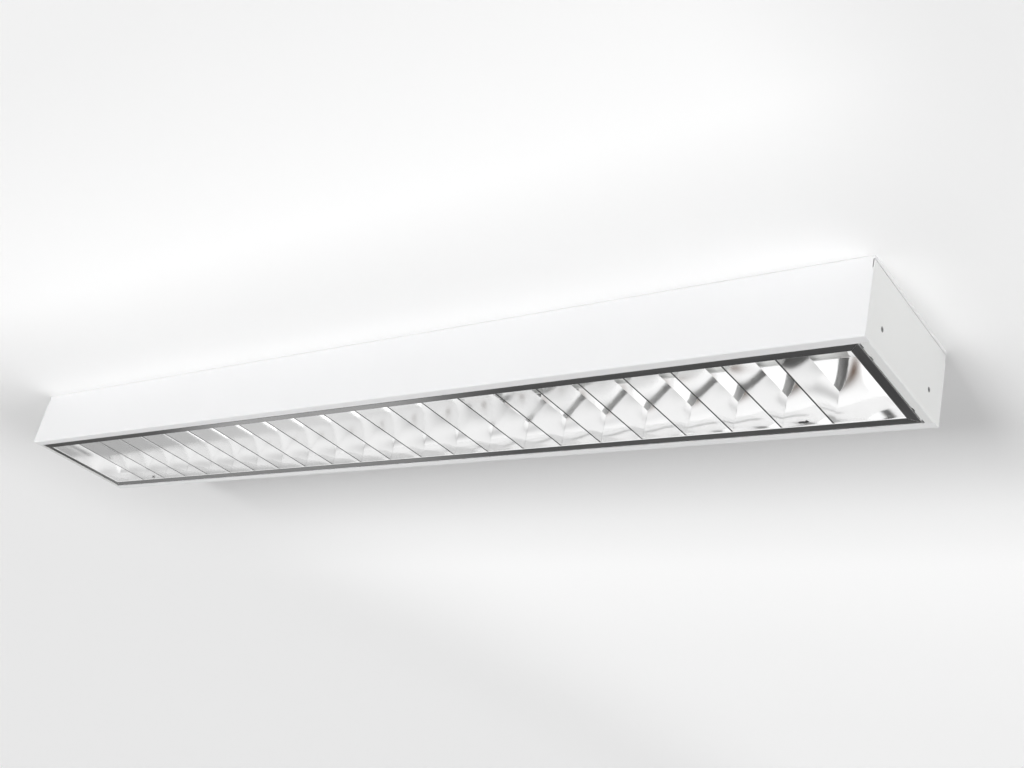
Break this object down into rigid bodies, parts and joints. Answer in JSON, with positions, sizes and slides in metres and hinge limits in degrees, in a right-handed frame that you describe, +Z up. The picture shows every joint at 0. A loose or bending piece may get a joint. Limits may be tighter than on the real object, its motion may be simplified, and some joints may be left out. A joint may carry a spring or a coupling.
{
  "type": "surface-mounted louvre luminaire",
  "caption": "Long white surface-mounted ceiling light for one linear lamp, with a hinged mirror louvre of parabolic side reflectors and V-shaped cross blades.",
  "frame": {"origin": "middle of the back panel's outer face, where the housing rests on the ceiling", "axes": "+X along the lamp, -Y towards the front side wall, +Z up into the ceiling"},
  "size_m": [1.28, 0.175, 0.08],
  "materials": {
    "white_powder_coat": "semi-gloss white powder coat",
    "cap_powder_coat": "semi-gloss white powder coat, a shade greyer",
    "dark_screw": "dark zinc passivated",
    "zinc_steel": "bright zinc plated",
    "zinc_screw": "bright zinc plated",
    "spring_steel": "tempered, blue-grey",
    "mirror_aluminium": "bright anodised mirror",
    "rivet_aluminium": "plain",
    "lamp_glass": "white phosphor-coated glass",
    "lamp_cap_aluminium": "satin",
    "pin_brass": "bright",
    "holder_plastic": "white polycarbonate",
    "terminal_plastic": "white polyamide",
    "ballast_steel": "zinc-coated sheet case",
    "brass_stud": "plain",
    "bush_plastic": "grey moulded"
  },
  "bodies": {
    "housing": {"housing_shell": "white_powder_coat", "end_cap_left": "cap_powder_coat", "end_cap_right": "cap_powder_coat", "end_cap_screws": "dark_screw", "hinge_bracket_left": "zinc_steel", "hinge_bracket_right": "zinc_steel", "catch_keeper_left": "zinc_steel", "catch_keeper_right": "zinc_steel", "gear_tray": "white_powder_coat", "holder_bracket_left": "zinc_steel", "holder_bracket_right": "zinc_steel", "lampholder_left": "holder_plastic", "lampholder_right": "holder_plastic", "panel_screws": "zinc_screw", "ballast": "ballast_steel", "ballast_terminals": "terminal_plastic", "terminal_block": "terminal_plastic", "earth_terminal": "brass_stud", "cable_bush": "bush_plastic"},
    "rotor_left": {"rotor_left": "holder_plastic"},
    "rotor_right": {"rotor_right": "holder_plastic"},
    "lamp": {"lamp_tube": "lamp_glass", "lamp_cap_left": "lamp_cap_aluminium", "lamp_cap_right": "lamp_cap_aluminium", "lamp_pins": "pin_brass"},
    "louvre": {"side_reflector_front": "mirror_aluminium", "side_reflector_rear": "mirror_aluminium", "end_reflector_left": "mirror_aluminium", "end_reflector_right": "mirror_aluminium", "hinge_pin_left": "zinc_steel", "hinge_pin_right": "zinc_steel", "louvre_rivets": "rivet_aluminium", "catch_spring_left": "spring_steel", "catch_spring_right": "spring_steel", "tether_eyelet": "rivet_aluminium", "cross_blade_01": "mirror_aluminium", "cross_blade_02": "mirror_aluminium", "cross_blade_03": "mirror_aluminium", "cross_blade_04": "mirror_aluminium", "cross_blade_05": "mirror_aluminium", "cross_blade_06": "mirror_aluminium", "cross_blade_07": "mirror_aluminium", "cross_blade_08": "mirror_aluminium", "cross_blade_09": "mirror_aluminium", "cross_blade_10": "mirror_aluminium", "cross_blade_11": "mirror_aluminium", "cross_blade_12": "mirror_aluminium", "cross_blade_13": "mirror_aluminium", "cross_blade_14": "mirror_aluminium", "cross_blade_15": "mirror_aluminium", "cross_blade_16": "mirror_aluminium", "cross_blade_17": "mirror_aluminium", "cross_blade_18": "mirror_aluminium", "cross_blade_19": "mirror_aluminium", "cross_blade_20": "mirror_aluminium", "cross_blade_21": "mirror_aluminium", "cross_blade_22": "mirror_aluminium"}
  },
  "joints": [
    {"name": "louvre_swing", "type": "hinge", "parent": "housing", "child": "louvre", "pos_m": [0, -0.0727, -0.0762], "axis": [-1, 0, 0], "range_deg": [0, 90], "deforming": ["catch_spring_left", "catch_spring_right"]},
    {"name": "lamp_twist", "type": "hinge", "parent": "housing", "child": "lamp", "pos_m": [0, 0, -0.031], "axis": [1, 0, 0], "range_deg": [0, 90]},
    {"name": "rotor_left_turn", "type": "hinge", "parent": "housing", "child": "rotor_left", "pos_m": [-0.6044, 0, -0.031], "axis": [1, 0, 0], "range_deg": [0, 90]},
    {"name": "rotor_right_turn", "type": "hinge", "parent": "housing", "child": "rotor_right", "pos_m": [0.6044, 0, -0.031], "axis": [1, 0, 0], "range_deg": [0, 90]}
  ],
  "couplings": [
    {"joint": "rotor_left_turn", "follows": "lamp_twist", "ratio": 1},
    {"joint": "rotor_right_turn", "follows": "lamp_twist", "ratio": 1}
  ]
}
